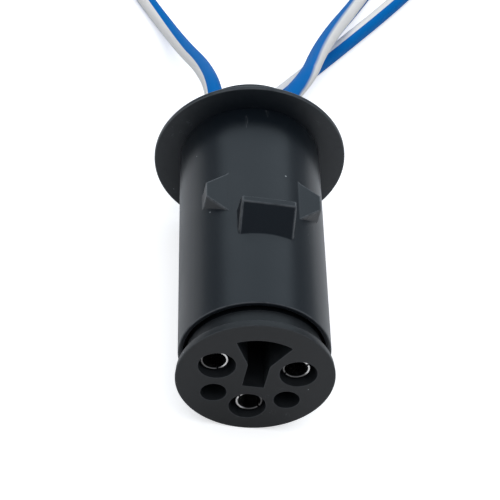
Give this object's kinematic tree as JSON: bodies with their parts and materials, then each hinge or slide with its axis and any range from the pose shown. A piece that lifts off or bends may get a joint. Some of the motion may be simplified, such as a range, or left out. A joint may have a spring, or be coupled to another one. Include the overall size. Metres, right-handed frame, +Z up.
{
  "type": "automotive wire connector",
  "caption": "Round three-way socket connector with a latch lug, a thin flange, a keyed face and short two-tone wires with stripped ends.",
  "frame": {"origin": "on the surface that the connector lies on, under the middle of the connector without its wires", "axes": "-Y is the way the mating face looks, +Y runs along the connector to its wire end, and +Z is up, with the latch lug on top. The connector's axis climbs 4.7 degrees towards +Y"},
  "size_m": [0.0695, 0.1916, 0.0273],
  "materials": {
    "housing": "satin moulded",
    "insulator": "fine moulded satin",
    "contact": "tin plated, lightly brushed",
    "core": "bare stranded copper",
    "wire_insulation": "smooth, blue with white along one side",
    "seal": "soft silicone"
  },
  "bodies": {
    "root": {"outer_shell": "housing", "contact_insulator": "insulator", "rear_insulator": "insulator", "rear_cap": "housing", "contact_left": "contact", "contact_right": "contact", "contact_lower": "contact", "conductor_left": "core", "conductor_right": "core", "conductor_lower": "core", "seal_left": "seal", "seal_right": "seal", "seal_lower": "seal", "wire_left": "wire_insulation", "wire_right": "wire_insulation", "wire_lower": "wire_insulation"}
  },
  "joints": []
}
